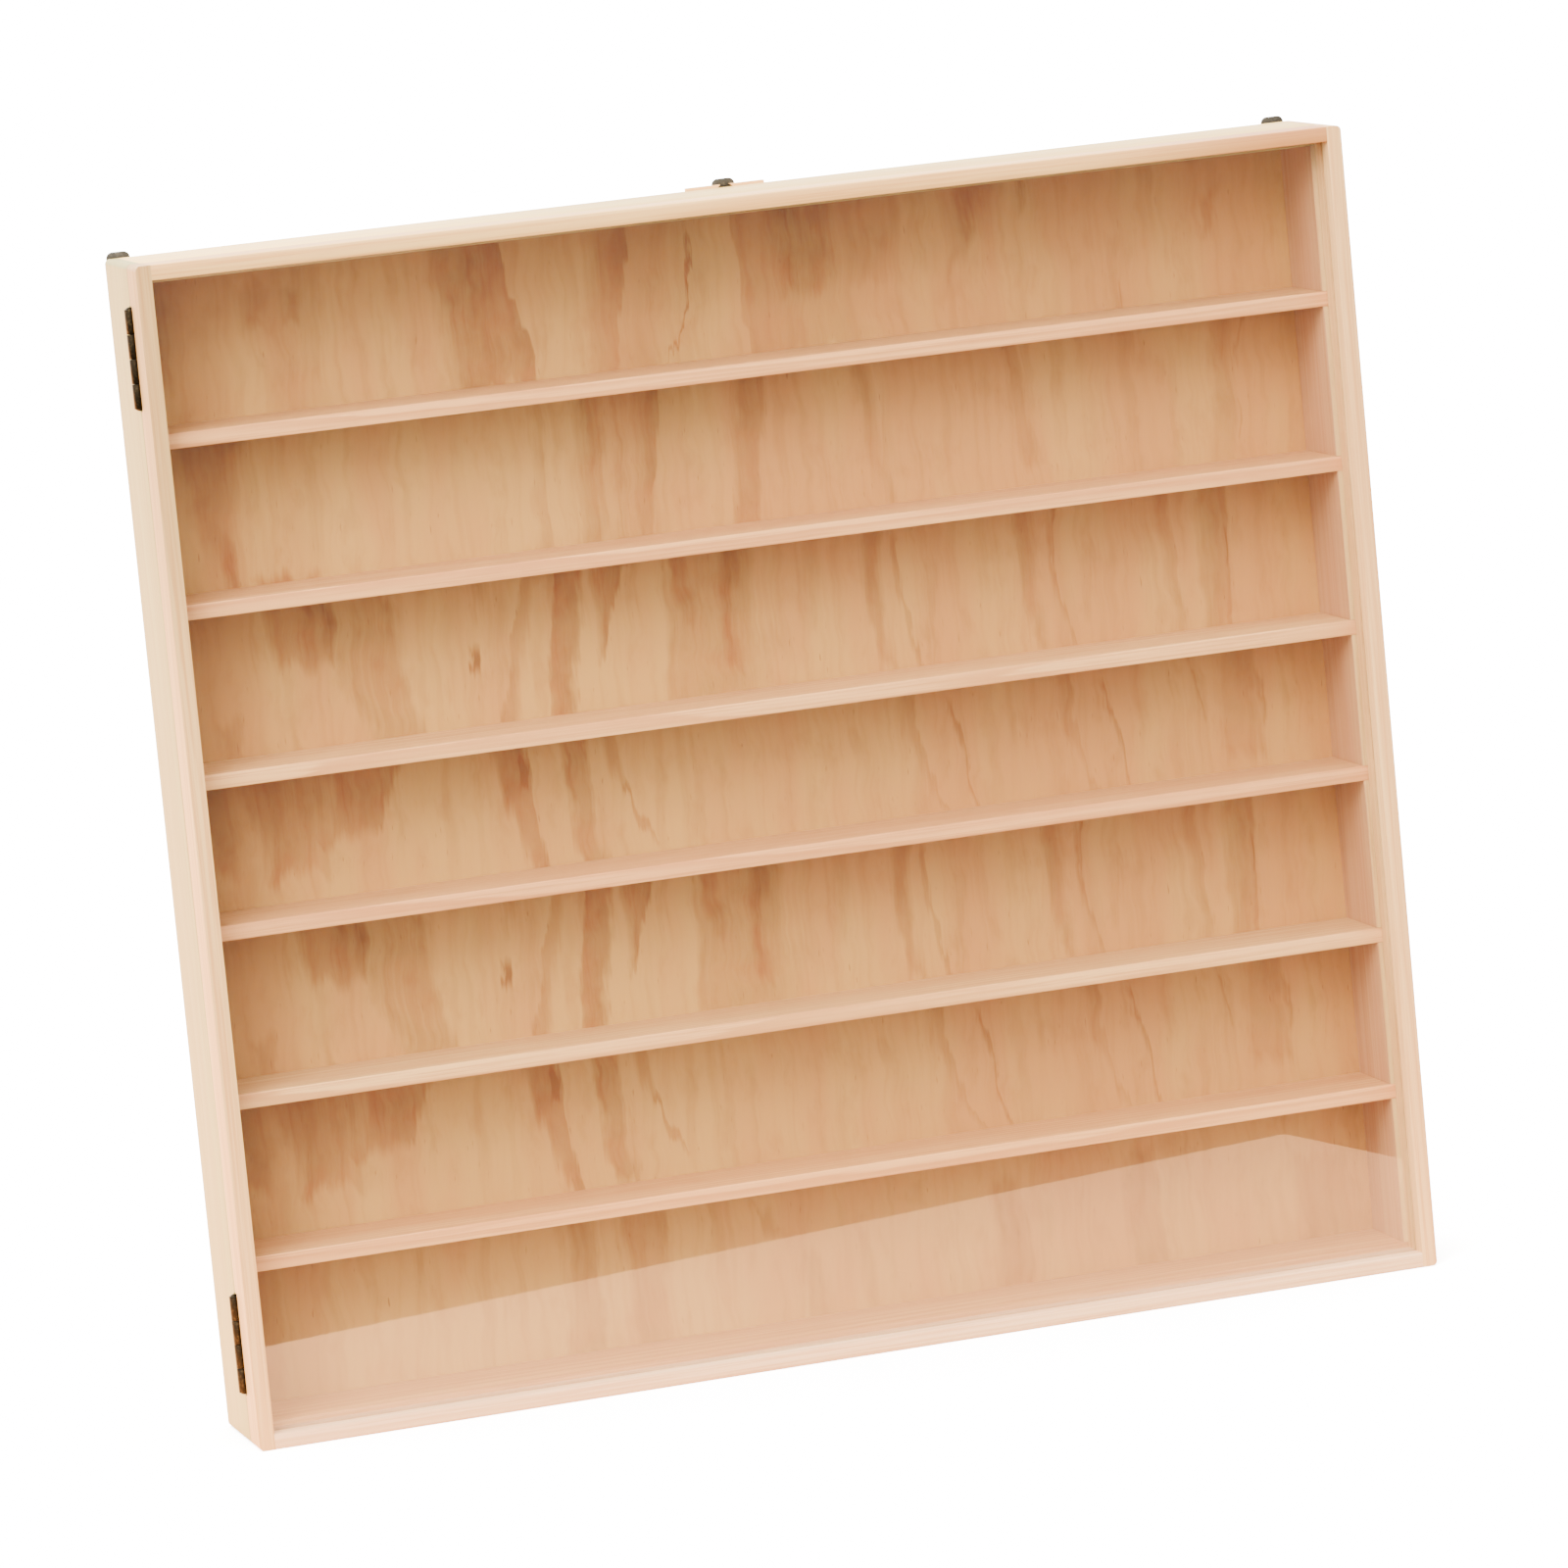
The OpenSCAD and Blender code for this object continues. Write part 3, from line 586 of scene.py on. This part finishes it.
def islandBoxes(node):
    # lowest and highest corners of each loose solid in a CAD node
    bm = mergedCopy(node)
    boxes = []
    left = set(bm.verts)
    while left:
        stack = [left.pop()]
        found = list(stack)
        while stack:
            for edge in stack.pop().link_edges:
                for vert in edge.verts:
                    if vert in left:
                        left.remove(vert)
                        stack.append(vert)
                        found.append(vert)
        low = Vector([min(v.co[i] for v in found) for i in range(3)])
        high = Vector([max(v.co[i] for v in found) for i in range(3)])
        boxes.append((low, high))
    bm.free()
    return sorted(boxes, key=lambda pair: (round(pair[0].z, 4), pair[0].x))


def lathe(bm, profile, steps):
    # turns a profile of (radius, height) pairs, in mm, round the Z axis
    verts = [bm.verts.new((r * mm, 0, h * mm)) for r, h in profile]
    edges = [bm.edges.new(pair) for pair in zip(verts, verts[1:])]
    bmesh.ops.spin(bm, geom=verts + edges, cent=(0, 0, 0), axis=(0, 0, 1), angle=2 * math.pi,
                   steps=steps, use_merge=True, use_duplicate=False)
    bmesh.ops.remove_doubles(bm, verts=bm.verts, dist=meshLook["latheMerge"])
    bmesh.ops.recalc_face_normals(bm, faces=bm.faces)


def addShape(target, source, matrix):
    bmesh.ops.transform(source, matrix=matrix, verts=source.verts)
    mesh = bpy.data.meshes.new("part")
    source.to_mesh(mesh)
    source.free()
    target.from_mesh(mesh)
    bpy.data.meshes.remove(mesh)


def turned(degrees, axis):
    return Matrix.Rotation(math.radians(degrees), 4, axis)


def movedTo(point):
    return Matrix.Translation(point)


print("materials")
bronze = metalMaterial("bronze")
hangerBronze = metalMaterial("hangerBronze")
nickel = metalMaterial("nickel")
brightSteel = metalMaterial("brightSteel")

# Boards of the case and the door

boards = {
    "left_side": {
        "look": "caseSide", "along": "Z", "pith": (-90, 60, 0), "ease": 0.35, "body": "case",
        "tint": (0.545, 0.68, 0.595),
        # painted shade: the inner face, inside the case, is darker and pinker than the outer face, as on
        # the right side
        "toneOrPaintedLight": {"across": "X", "from": -236.4, "to": -236.2, "tone": (1.255, 0.705, 1.06, 1)},
    },
    "right_side": {
        "look": "caseSide", "along": "Z", "pith": (120, -70, 0), "ease": 0.35, "body": "case",
        "tint": (0.92, 0.80, 0.85),
        # painted shade: the inner face, inside the case, is darker than the outer face
        "toneOrPaintedLight": {"across": "X", "from": 236.4, "to": 236.2, "tone": (0.745, 0.60, 0.74, 1)},
    },
    "top_board": {
        "look": "caseSide", "along": "X", "pith": (0, 70, 330), "ease": 0.35, "body": "case",
        "tint": (0.93, 0.91, 0.72),
        # painted highlight: the top board is lighter and bluer towards its left end
        "toneOrPaintedLight": {"across": "X", "from": -20, "to": -200, "tone": (1.5, 1.5, 1.9, 1)},
    },
    "bottom_board": {
        # the shelves' darker pine: partly painted shade on its top inside the case
        "look": "shelf", "along": "X", "pith": (0, -90, 120), "ease": 0.35, "body": "case",
    },
    "door_left_stile": {
        "look": "frame", "along": "Z", "pith": (-150, 60, 0), "ease": 0.45, "body": "door",
        "tint": (0.88, 0.87, 0.85),
        "toneOrPaintedLight": {"across": "Z", "from": 250, "to": 390, "tone": (0.72, 0.75, 0.70, 1)},
    },
    "door_right_stile": {
        "look": "frame", "along": "Z", "pith": (150, 45, 0), "ease": 0.45, "body": "door",
        "tint": (0.90, 0.88, 0.88),
    },
    "door_top_rail": {
        "look": "frame", "along": "X", "pith": (0, 80, 380), "ease": 0.45, "body": "door",
        "tint": (0.92, 0.91, 0.77),
        "toneOrPaintedLight": {"across": "X", "from": 110, "to": 230, "tone": (0.68, 0.49, 0.39, 1)},
    },
    "door_bottom_rail": {
        "look": "frame", "along": "X", "pith": (0, 50, -80), "ease": 0.45, "body": "door",
        "tint": (0.98, 1.02, 1.45),
    },
    "hanger_block": {
        "look": "frame", "along": "X", "pith": (0, 90, 420), "ease": 0.25, "body": "case",
    },
}
longEdge = 20 * mm
straight = 0.99  # share of its length by which an edge has to follow the board

for seed, (node, board) in enumerate(boards.items(), 1):
    axis = "XYZ".index(board["along"])
    low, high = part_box(node)

    def alongBoard(middle, run, axis=axis, low=low, high=high):
        # long outer edges that follow the board
        if run.length < longEdge or abs(run[axis]) < straight * run.length:
            return False
        sides = [i for i in range(3) if i != axis]
        return all(min(middle[i] - low[i], high[i] - middle[i]) < touching for i in sides)

    bm = mergedCopy(node)
    easeEdges(bm, board["ease"] * mm, alongBoard)
    pine = pineMaterial("pine_" + node, board["look"], board["along"], board["pith"], seed,
                        board.get("toneOrPaintedLight"), board.get("tint", (1, 1, 1)))
    newPiece("wood_" + node, bm, pine, board["body"], node)
print("boards")

shelfLook = {
    "ease": 0.4,
    "easeSteps": 3,
    "pith": (0, 60, -40),  # mm from the shelf's own height
    "pithStep": 9,         # mm further back with each shelf
    "firstSeed": 20,
    "tints": [
        (0.97, 1.0, 1.0), (1.02, 1.02, 1.02), (1.12, 1.21, 1.26),
        (1.02, 1.03, 1.03), (1.07, 1.20, 1.24), (1.08, 1.07, 1.02),
    ],
    # painted highlight: the front edges are lighter than the tops, each by its own share
    "front": {"across": "Y", "from": -10.6, "to": -10.8},
    "frontHighlight": (1.34, 1.26, 1.24),
    "frontHighlightShares": [1.07, 1, 0.95, 1, 1.02, 1],
}
for number, (shelfTint, highlightShare) in enumerate(zip(shelfLook["tints"], shelfLook["frontHighlightShares"]), 1):
    node = f"shelf_{number}"
    low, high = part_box(node)
    centre = (low + high) / 2
    bm = bmesh.new()
    bmesh.ops.create_cube(bm, size=1)
    bmesh.ops.scale(bm, vec=high - low, verts=bm.verts)
    bmesh.ops.translate(bm, vec=centre, verts=bm.verts)

    def alongFront(middle, run, face=low.y):
        return abs(middle.y - face) < touching and abs(run.x) > longEdge

    easeEdges(bm, shelfLook["ease"] * mm, alongFront, shelfLook["easeSteps"])
    pithX, pithY, pithZ = shelfLook["pith"]
    pith = (pithX, pithY + shelfLook["pithStep"] * number, centre.z / mm + pithZ)
    front = dict(shelfLook["front"], tone=[part * highlightShare for part in shelfLook["frontHighlight"]] + [1])
    seed = shelfLook["firstSeed"] + number
    pine = pineMaterial(f"pine_{node}", "shelf", "X", pith, seed, front, shelfTint)
    newPiece(f"wood_{node}", bm, pine, "case", node)
print("shelves")

for node, material in (("back_panel", plywoodMaterial()), ("clear_pane", paneMaterial())):
    cadNodes[node].data.materials.clear()
    cadNodes[node].data.materials.append(material)
print("panel and pane")

# Hinges

leafEase = 0.12
for end in ("upper", "lower"):
    for body in ("case", "door"):
        node = f"{end}_{body}_leaf"
        bm = mergedCopy(node)
        easeEdges(bm, leafEase * mm, allEdges)
        newPiece(f"bronze_{node}", bm, bronze, body, node)

pinLook = {"headRadius": 1.6, "headHeight": 0.8, "headSteps": 6, "radius": 0.9, "steps": 40}
for end in ("upper", "lower"):
    node = f"{end}_hinge_pin"
    low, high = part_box(node)
    rise = pinLook["headHeight"]
    shank = (high.z - low.z) / mm / 2 - rise
    dome = (pinLook["headRadius"] ** 2 + rise ** 2) / (2 * rise)
    sweep = math.asin(pinLook["headRadius"] / dome)
    arc = []
    for step in range(pinLook["headSteps"] + 1):
        turn = sweep * step / pinLook["headSteps"]
        arc.append((dome * math.sin(turn), shank + rise - dome + dome * math.cos(turn)))
    upper = arc + [(pinLook["radius"], shank)]
    bm = bmesh.new()
    lathe(bm, upper + [(r, -h) for r, h in reversed(upper)], pinLook["steps"])
    bmesh.ops.translate(bm, vec=(low + high) / 2, verts=bm.verts)
    newPiece(f"bronze_{node}", bm, bronze, "case", node)
print("hinges")

# Screws with a cross recess, brads and magnets

crossLook = {"rim": 0.08, "slot": 0.16, "reach": 0.62, "depth": 0.6, "taper": 0.8}  # shares of the head
screwSteps = 36
onTop = 1e-7    # m, nearer than this to the head's face
onPlane = 1e-8  # m, nearer than this to a cut


def topFaces(bm):
    return [face for face in bm.faces if abs(face.calc_center_median().z) < onTop]


def crossScrew(headRadius, shankRadius, headDepth, length):
    # head up, its face on z = 0
    bm = bmesh.new()
    rim = headRadius * crossLook["rim"]
    profile = [(headRadius - rim, 0), (headRadius, -rim), (shankRadius, -headDepth),
               (shankRadius, -length + shankRadius), (0, -length)]
    lathe(bm, profile, screwSteps)
    loop = [edge for edge in bm.edges if all(abs(v.co.z) < onTop for v in edge.verts)]
    bmesh.ops.contextual_create(bm, geom=loop)
    half = headRadius * crossLook["slot"] * mm
    reach = headRadius * crossLook["reach"] * mm
    for normal in ((1, 0, 0), (0, 1, 0)):
        for cut in (-reach, -half, half, reach):
            faces = topFaces(bm)
            edges = {edge for face in faces for edge in face.edges}
            verts = {vert for face in faces for vert in face.verts}
            bmesh.ops.bisect_plane(bm, geom=[*faces, *edges, *verts], dist=onPlane,
                                   plane_co=Vector(normal) * cut, plane_no=normal)
    cross = []
    for face in topFaces(bm):
        x, y = (abs(part) for part in face.calc_center_median().xy)
        if max(x, y) < reach and min(x, y) < half:
            cross.append(face)
    lowered = bmesh.ops.extrude_face_region(bm, geom=cross)["geom"]
    bmesh.ops.delete(bm, geom=cross, context="FACES_ONLY")
    verts = [v for v in lowered if isinstance(v, bmesh.types.BMVert)]
    bmesh.ops.translate(bm, vec=(0, 0, -headDepth * crossLook["depth"] * mm), verts=verts)
    bmesh.ops.scale(bm, vec=(crossLook["taper"], crossLook["taper"], 1), verts=verts)
    bmesh.ops.recalc_face_normals(bm, faces=bm.faces)
    return bm


hingeScrew = {"head": 1.3, "shank": 0.75, "depth": 0.7, "material": bronze, "slot": "bronzed_hinge"}
hangerScrew = {"head": 1.7, "shank": 0.9, "depth": 1.1, "material": hangerBronze, "slot": "dark_hanger"}
screws = {
    # the side that the heads face, and the body
    "upper_case_screws": (hingeScrew, -1, "case"),
    "upper_door_screws": (hingeScrew, 1, "door"),
    "lower_case_screws": (hingeScrew, -1, "case"),
    "lower_door_screws": (hingeScrew, 1, "door"),
    "hanger_screws": (hangerScrew, 1, "case"),
}
crossTurn = {"first": 17, "step": 31}  # degrees, so that no two slots stand alike
for node, (screw, faces, body) in screws.items():
    whole = bmesh.new()
    for number, (low, high) in enumerate(islandBoxes(node)):
        one = crossScrew(screw["head"], screw["shank"], screw["depth"], (high.y - low.y) / mm)
        centre = (low + high) / 2
        centre.y = low.y if faces < 0 else high.y
        turn = turned(crossTurn["first"] + crossTurn["step"] * number, "Z")
        addShape(whole, one, movedTo(centre) @ turned(-90 * faces, "X") @ turn)
    newPiece(f"cross_{node}", whole, screw["material"], body, node)

bradLook = {
    "headRadius": 1.2, "headHeight": 0.4, "shank": 0.6, "steps": 24,
    "dome": [(0, 1), (0.55, 0.92), (0.85, 0.66), (1, 0.3), (1, 0)],  # shares of the head
}
whole = bmesh.new()
for low, high in islandBoxes("back_brads"):
    one = bmesh.new()
    height, shank = bradLook["headHeight"], bradLook["shank"]
    length = (high.y - low.y) / mm - height
    head = [(across * bradLook["headRadius"], up * height) for across, up in bradLook["dome"]]
    lathe(one, head + [(shank, 0), (shank, -length + shank), (0, -length)], bradLook["steps"])
    centre = Vector(((low.x + high.x) / 2, high.y - height * mm, (low.z + high.z) / 2))
    addShape(whole, one, movedTo(centre) @ turned(-90, "X"))
newPiece("steel_brads", whole, brightSteel, "case", "back_brads")

magnetLook = {"radius": 2.0, "rim": 0.2, "round": 0.3, "steps": 40}
for body in ("case", "door"):
    whole = bmesh.new()
    for low, high in islandBoxes(f"{body}_magnets"):
        one = bmesh.new()
        r, rim = magnetLook["radius"], magnetLook["rim"]
        corner = magnetLook["round"] * rim
        half = (high.y - low.y) / mm / 2
        upper = [(0, half), (r - rim, half), (r - corner, half - corner), (r, half - rim)]
        lathe(one, upper + [(across, -rise) for across, rise in reversed(upper)], magnetLook["steps"])
        addShape(whole, one, movedTo((low + high) / 2) @ turned(-90, "X"))
    newPiece(f"nickel_{body}_magnets", whole, nickel, body, f"{body}_magnets")

hangerEase = 0.2
for node in ("left_hanger", "middle_hanger", "right_hanger"):
    bm = mergedCopy(node)
    easeEdges(bm, hangerEase * mm, allEdges)
    newPiece(f"bronze_{node}", bm, hangerBronze, "case", node)
print("fittings")

# Floor, light and camera

floorLook = {
    # the floor ends a little in front of the case, so the pane mirrors its edge low down
    "corners": [(0.291, -0.316), (1.863, 6.506), (-4.958, 8.078), (-6.53, 1.256)],
    "colour": (0.48, 0.35, 0.22, 1),  # the warm light that it sends up to the case
    "mirrored": (1.85, 0.92, 0.46),   # what the pane mirrors of it, brightest at the left
    "fades": {"from": -0.2, "to": 0.14, "bright": 1.3, "dim": 0.80},
    "seen": (2.9, 3.05, 3.35, 1),     # burnt out to white, as in the photograph
}
bm = bmesh.new()
bm.faces.new([bm.verts.new((x, y, 0)) for x, y in floorLook["corners"]])
floorMesh = bpy.data.meshes.new("floor")
bm.to_mesh(floorMesh)
bm.free()
floor = addObject("floor", floorMesh)
floorMaterial, tree, shader = newMaterial("floorWhite")
tree.nodes.remove(shader)
ray = addNode(tree, "ShaderNodeLightPath").outputs
fades = floorLook["fades"]
floorX = splitPlace(tree, objectPlace(tree))["X"]
fading = remap(tree, floorX, fades["from"], fades["to"], fades["bright"], fades["dim"])
mirrored = addNode(tree, "ShaderNodeVectorMath", {0: floorLook["mirrored"], "Scale": fading},
                   operation="SCALE").outputs[0]
inPane = calc(tree, "MULTIPLY", ray["Is Glossy Ray"], ray["Is Reflection Ray"])
shown = blendColours(tree, inPane, floorLook["colour"], mirrored)
shown = blendColours(tree, ray["Is Camera Ray"], shown, floorLook["seen"])
paper = addNode(tree, "ShaderNodeBsdfDiffuse", {"Color": shown})
tree.links.new(paper.outputs[0], tree.nodes["Material Output"].inputs["Surface"])
floorMesh.materials.append(floorMaterial)

cameraLook = {
    "place": (-0.9032, -3.0961, 0.6988),
    "turn": -16.183,  # degrees, to the right of straight ahead
    "tilt": -8.207,
    "roll": -5.478,
    "lens": 190.39,   # mm, on a sensor of this width
    "sensor": 36,
    "shift": (0.0065, -0.0116),
    "sees": 60,       # m
}
cameraData = bpy.data.cameras.new("camera")
cameraData.sensor_width = cameraLook["sensor"]
cameraData.lens = cameraLook["lens"]
cameraData.shift_x, cameraData.shift_y = cameraLook["shift"]
cameraData.clip_end = cameraLook["sees"]
camera = addObject("camera", cameraData)
camera.matrix_world = (
    movedTo(cameraLook["place"]) @ turned(cameraLook["turn"], "Z")
    @ turned(90 + cameraLook["tilt"], "X") @ turned(cameraLook["roll"], "Z")
)
bpy.context.scene.camera = camera

lightLook = {
    "sky": 6.4,     # strength of the light from above and around
    "ground": 0.3,  # what comes from below the floor's edge
    "brightSide": (-0.50, 0.10, 0.80),  # the low front right is the dark side of the room
    "sides": {"from": -0.5, "to": 0.15, "dark": 0.02},
    "horizon": {"from": -0.1, "to": 0.02},
    "seen": 20.0,   # the white that the camera sees behind the case
    "colour": (1.0, 0.95, 0.87, 1),
    "key": {"place": (-1.5, -2.0, 2.3), "aim": (0, 0, 0.2), "size": 1.7, "power": 170,
            "colour": (1.0, 0.95, 0.87)},
}
world = bpy.data.worlds.new("studio")
world.use_nodes = True
bpy.context.scene.world = world
tree = world.node_tree
direction = addNode(tree, "ShaderNodeTexCoord").outputs["Generated"]
facing = addNode(tree, "ShaderNodeVectorMath", {0: direction, 1: lightLook["brightSide"]},
                 operation="DOT_PRODUCT").outputs["Value"]
sides = lightLook["sides"]
bright = remap(tree, facing, sides["from"], sides["to"], sides["dark"], 1.0)
above = shareWithin(tree, splitPlace(tree, direction)["Z"], lightLook["horizon"])
strength = calc(tree, "MULTIPLY_ADD", calc(tree, "MULTIPLY", bright, above), lightLook["sky"],
                lightLook["ground"])
studio = tree.nodes["Background"]
studio.inputs["Color"].default_value = lightLook["colour"]
tree.links.new(strength, studio.inputs["Strength"])
backdrop = addNode(tree, "ShaderNodeBackground", {"Color": (1, 1, 1, 1), "Strength": lightLook["seen"]})
cameraRay = addNode(tree, "ShaderNodeLightPath").outputs["Is Camera Ray"]
tree.links.new(mixShaders(tree, cameraRay, studio, backdrop), tree.nodes["World Output"].inputs["Surface"])

key = lightLook["key"]
keyData = bpy.data.lights.new("key", "AREA")
keyData.shape = "DISK"
keyData.size = key["size"]
keyData.energy = key["power"]
keyData.color = key["colour"]
keyLight = addObject("key", keyData)
aim = Vector(key["aim"]) - Vector(key["place"])
keyLight.matrix_world = movedTo(key["place"]) @ aim.to_track_quat("-Z", "Y").to_matrix().to_4x4()
print("stage")
